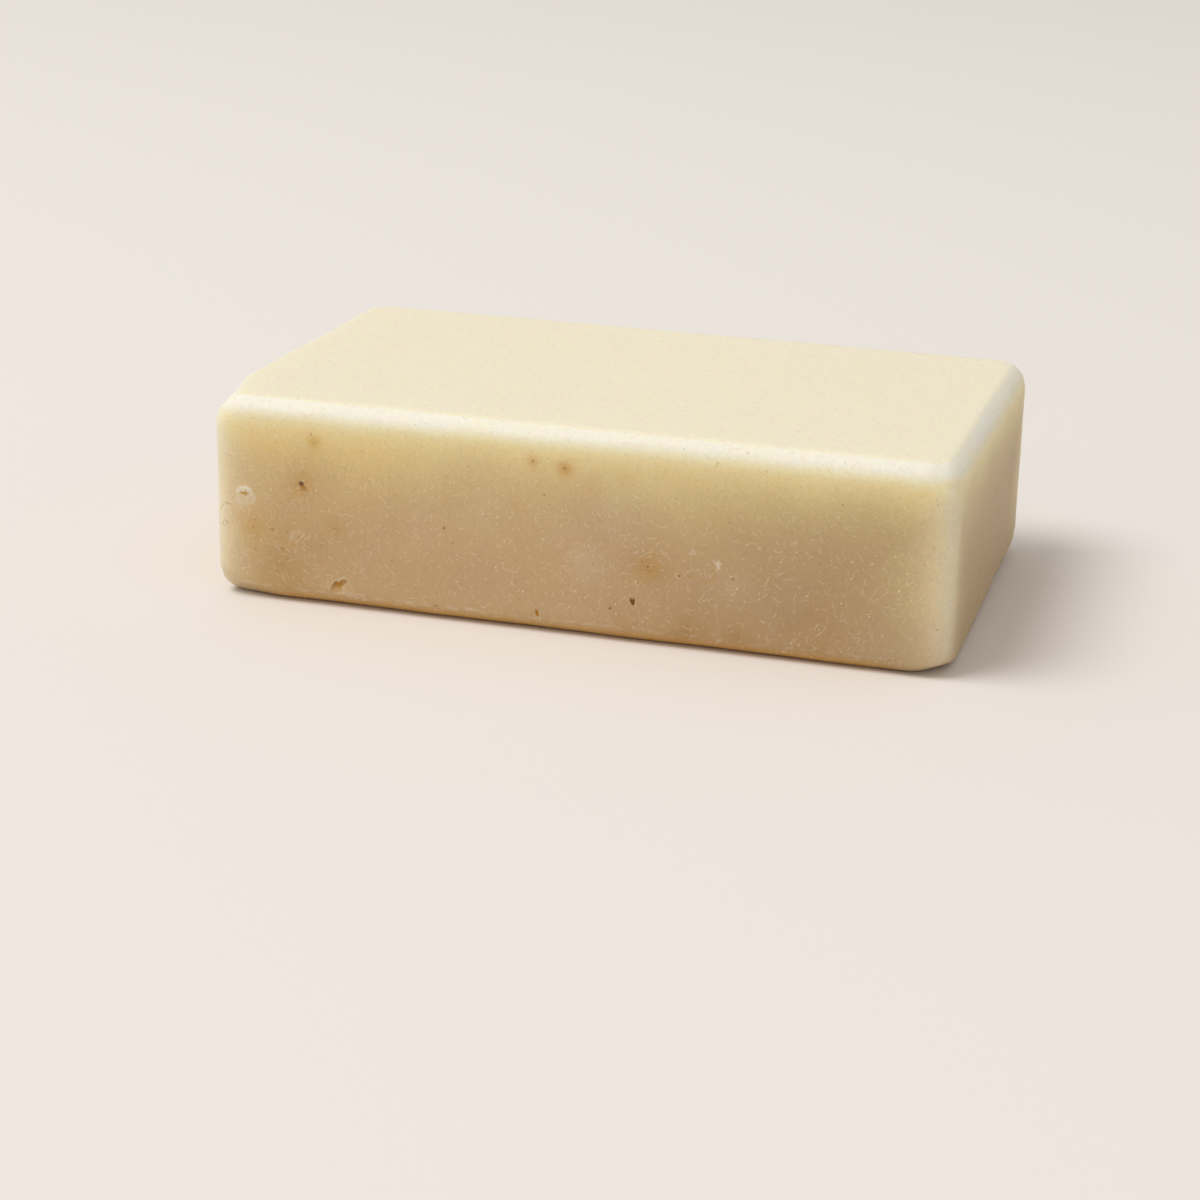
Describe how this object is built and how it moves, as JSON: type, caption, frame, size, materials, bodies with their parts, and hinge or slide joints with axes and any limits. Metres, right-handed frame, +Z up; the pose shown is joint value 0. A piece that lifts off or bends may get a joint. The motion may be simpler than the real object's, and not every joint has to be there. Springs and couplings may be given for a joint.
{
  "type": "bar of soap",
  "caption": "Hand-cut rectangular bar of soap with planed bevels along every edge, worn corners, and a pit, a chip and small nicks in its front face.",
  "frame": {"origin": "middle of the base that the bar lies on", "axes": "+X along the length towards the right end, +Y from the front face to the back, +Z up through the height"},
  "size_m": [0.1, 0.058, 0.028],
  "materials": {
    "soap": "waxy satin, slightly translucent"
  },
  "bodies": {
    "root": {"soap_bar": "soap"}
  },
  "joints": []
}
